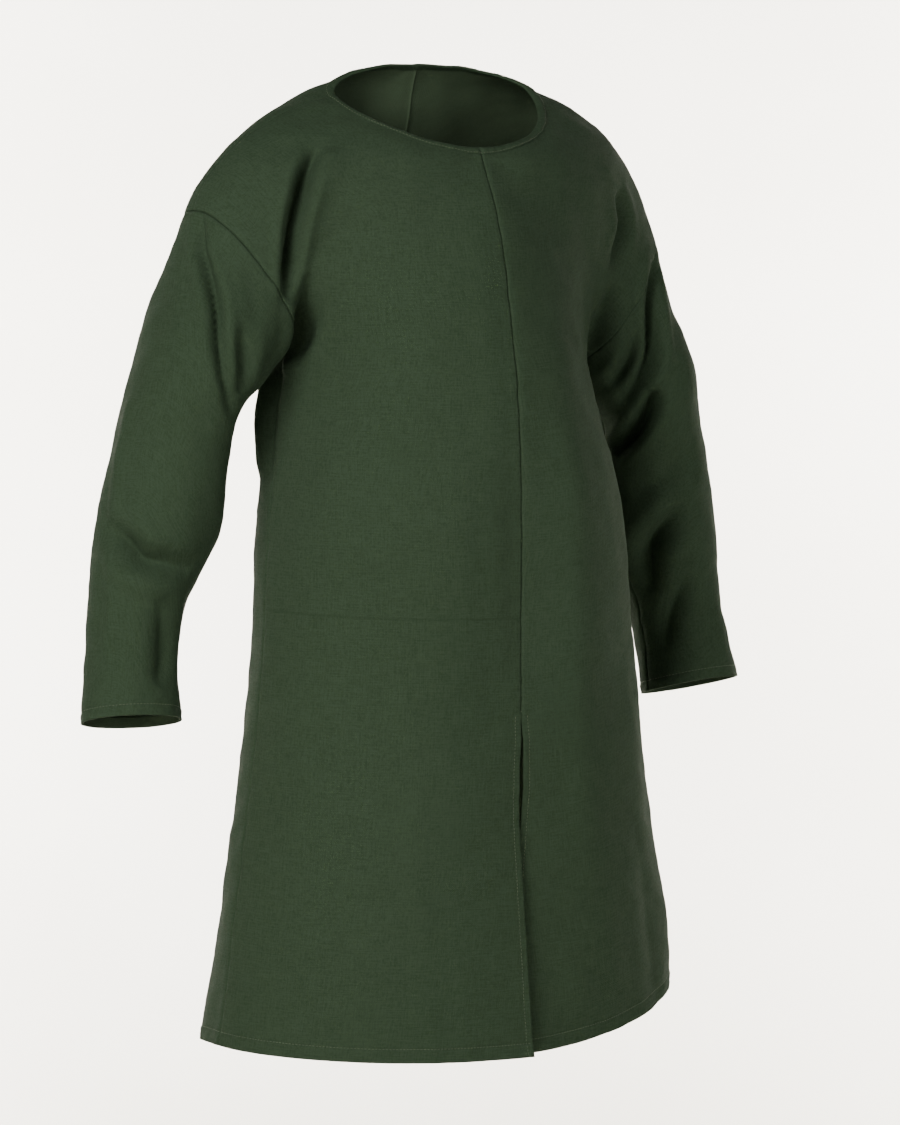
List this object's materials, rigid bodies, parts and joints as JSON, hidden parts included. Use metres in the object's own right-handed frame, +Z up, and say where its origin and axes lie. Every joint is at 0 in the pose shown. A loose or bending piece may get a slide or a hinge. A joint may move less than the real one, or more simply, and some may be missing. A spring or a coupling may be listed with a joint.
{
  "type": "medieval tunic",
  "caption": "Knee-length long-sleeved medieval tunic in plain green cotton canvas, with a round bound neck, dropped shoulders, a seam down the front and a slit at the front hem.",
  "frame": {"origin": "midway between the two side-neck points, at the height of the shoulders, where the wearer's shoulders hold the tunic", "axes": "+Z up, -Y the way the wearer faces, +X the wearer's left"},
  "size_m": [0.7826, 0.3644, 1.0287],
  "materials": {
    "cloth": "matte plain-weave cotton canvas, dark green",
    "binding": "the same cloth cut on the bias, folded and stitched"
  },
  "bodies": {
    "root": {"front_right": "cloth", "front_left": "cloth", "back_right": "cloth", "back_left": "cloth", "sleeve_right": "cloth", "sleeve_left": "cloth", "neck_binding": "binding"}
  },
  "joints": []
}
